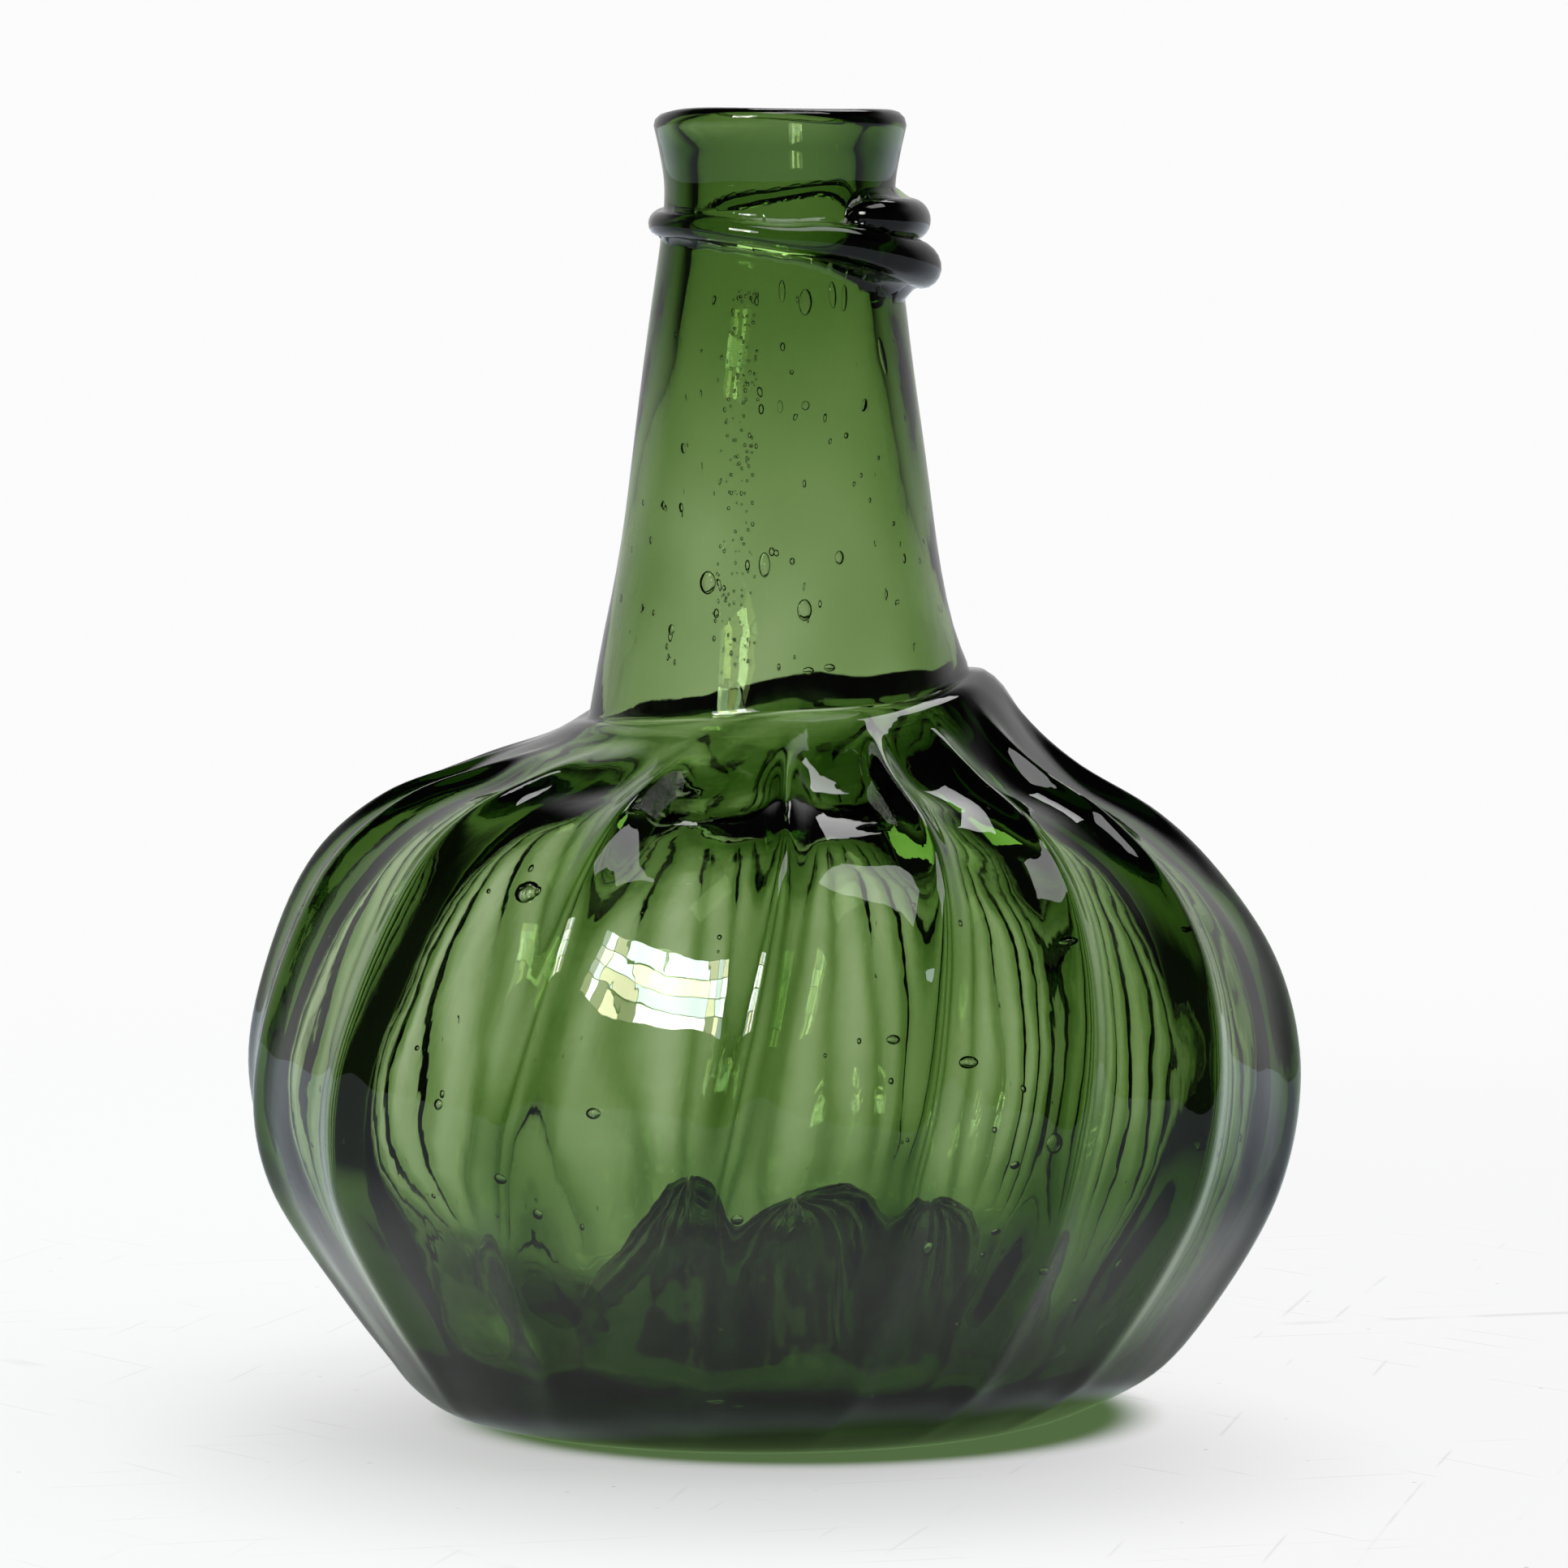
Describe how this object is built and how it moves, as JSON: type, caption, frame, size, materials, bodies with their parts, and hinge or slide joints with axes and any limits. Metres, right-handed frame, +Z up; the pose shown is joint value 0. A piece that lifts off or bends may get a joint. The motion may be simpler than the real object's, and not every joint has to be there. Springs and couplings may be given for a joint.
{
  "type": "glass bottle",
  "caption": "Hand-blown green glass bottle with a squat ribbed and slightly swirled body, a tapered neck, a trailed string rim and a pushed-up base.",
  "frame": {"origin": "middle of the overall footprint, on the plane that the bottle stands on", "axes": "+Z is up along the neck, -Y is the front that the picture shows, +X is to the right in the picture"},
  "size_m": [0.15, 0.1512, 0.185],
  "materials": {
    "neck_glass": "clear green glass, fire-polished, with small bubbles",
    "body_glass": "clear lighter green glass with a smooth ribbed surface and small bubbles",
    "rim_glass": "thick dark green glass, fire-polished",
    "scar_glass": "rough broken green glass"
  },
  "bodies": {
    "root": {"first_gather": "neck_glass", "ribbed_gather": "body_glass", "string_rim": "rim_glass", "pontil_scar": "scar_glass"}
  },
  "joints": []
}
